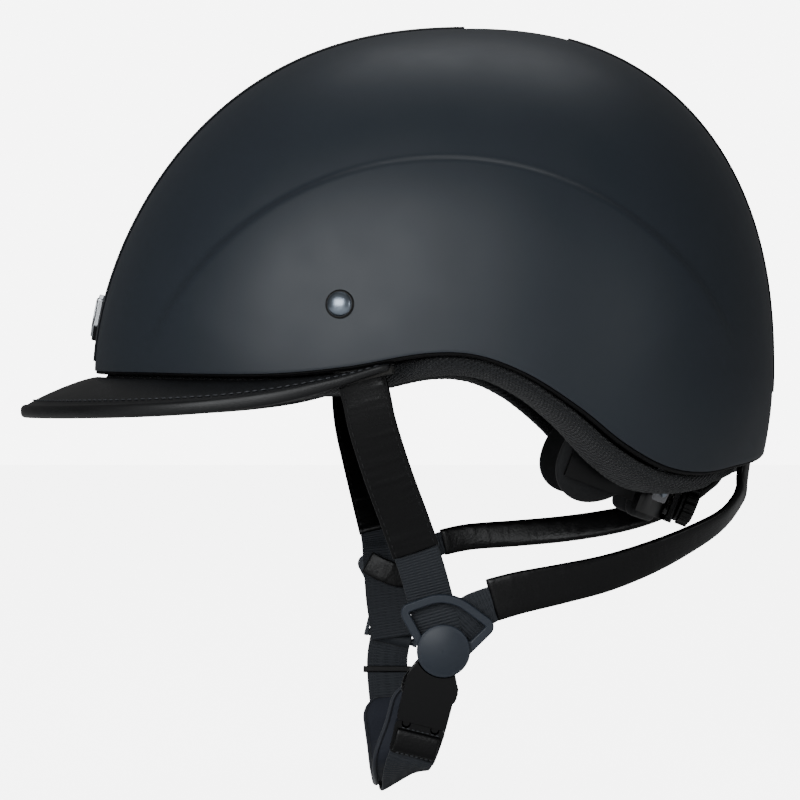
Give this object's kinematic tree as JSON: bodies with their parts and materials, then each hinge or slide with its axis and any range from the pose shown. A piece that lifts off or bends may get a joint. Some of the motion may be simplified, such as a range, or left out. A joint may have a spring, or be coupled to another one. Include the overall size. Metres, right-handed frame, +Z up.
{
  "type": "equestrian riding helmet",
  "caption": "Riding helmet with a hard shell, leather-covered peak, foam liner, nape dial adjuster and a chin harness with a side-release buckle.",
  "frame": {"origin": "where the wearer's head sits: the middle of the head opening at the height of the brow edge", "axes": "the wearer faces -X, the wearer's left is -Y, +Z is up"},
  "size_m": [0.3074, 0.2286, 0.311],
  "materials": {
    "shell": "matte",
    "strip": "matte",
    "piping": "satin",
    "foam": "matte",
    "mesh_fabric": "matte",
    "pad_fabric": "matte",
    "vent_mesh": "satin",
    "chrome": "gloss",
    "rivet_steel": "satin",
    "board": "matte",
    "leather": "satin",
    "webbing": "matte",
    "divider_plastic": "satin",
    "buckle_plastic": "gloss",
    "band_rubber": "matte",
    "adjuster_plastic": "satin",
    "pinion_plastic": "satin",
    "clear_grey": "gloss"
  },
  "bodies": {
    "helmet": {"outer_shell": "shell", "crown_strip_front": "strip", "crown_strip_rear": "strip", "shell_edge_trim": "piping", "impact_liner": "foam", "rim_cushion": "mesh_fabric", "headband_pad": "pad_fabric", "crown_pad": "pad_fabric", "nape_pad": "pad_fabric", "front_vent_mesh": "vent_mesh", "crown_vent_mesh": "vent_mesh", "front_badge": "chrome", "side_rivet_left": "rivet_steel", "side_rivet_right": "rivet_steel", "rear_anchor_rivets": "rivet_steel", "hanger_pins": "rivet_steel", "peak_board": "board", "peak_top_cover": "leather", "peak_lining": "leather", "peak_edge_binding": "leather", "front_strap_left": "leather", "front_strap_right": "leather", "rear_strap_left": "leather", "rear_strap_right": "leather", "front_webbing_left": "webbing", "front_webbing_right": "webbing", "rear_webbing_left": "webbing", "rear_webbing_right": "webbing", "strap_divider_left": "divider_plastic", "strap_divider_right": "divider_plastic", "divider_cap_left": "divider_plastic", "divider_cap_right": "divider_plastic", "divider_bar_right": "divider_plastic", "buckle_socket": "buckle_plastic", "cradle_frame": "adjuster_plastic", "adjuster_housing": "adjuster_plastic", "adjuster_cover": "adjuster_plastic", "cradle_hanger_left": "clear_grey", "cradle_hanger_right": "clear_grey"},
    "dial": {"adjuster_dial": "adjuster_plastic", "adjuster_pinion": "pinion_plastic"},
    "band_left": {"adjuster_band_left": "adjuster_plastic", "wing_pad_left": "pad_fabric"},
    "band_right": {"adjuster_band_right": "adjuster_plastic", "wing_pad_right": "pad_fabric"},
    "chin_strap": {"buckle_plug": "buckle_plastic", "chin_webbing": "webbing", "chin_webbing_loop": "webbing", "chin_pad": "pad_fabric", "strap_keeper": "band_rubber"},
    "prong_front": {"prong_front": "buckle_plastic"},
    "prong_rear": {"prong_rear": "buckle_plastic"}
  },
  "joints": [
    {"name": "dial_turn", "type": "hinge", "parent": "helmet", "child": "dial", "pos_m": [0.09615, 0, -0.05036], "axis": [0.9336, 0, -0.3584], "range_deg": [-60, 90]},
    {"name": "band_left_slide", "type": "hinge", "parent": "helmet", "child": "band_left", "pos_m": [0.028, 0, -0.0242], "axis": [0.3584, 0, 0.9336], "range_deg": [-8, 6]},
    {"name": "band_right_slide", "type": "hinge", "parent": "helmet", "child": "band_right", "pos_m": [0.028, 0, -0.0242], "axis": [0.3584, 0, 0.9336], "range_deg": [-6, 8]},
    {"name": "chin_strap_swing", "type": "hinge", "parent": "helmet", "child": "chin_strap", "pos_m": [-0.01829, 0.06713, -0.11451], "axis": [0.9703, 0, -0.2419], "range_deg": [0, 70]},
    {"name": "prong_front_squeeze", "type": "hinge", "parent": "chin_strap", "child": "prong_front", "pos_m": [-0.01192, -0.06682, -0.1365], "axis": [0.0169, 0.9976, 0.0677], "range_deg": [0, 8], "stiffness_Nm_per_rad": 0.3},
    {"name": "prong_rear_squeeze", "type": "hinge", "parent": "chin_strap", "child": "prong_rear", "pos_m": [-0.00086, -0.06682, -0.13925], "axis": [-0.0169, -0.9976, -0.0677], "range_deg": [0, 8], "stiffness_Nm_per_rad": 0.3}
  ],
  "couplings": [
    {"joint": "band_left_slide", "follows": "dial_turn", "ratio": -0.068493},
    {"joint": "band_right_slide", "follows": "dial_turn", "ratio": 0.068493}
  ]
}
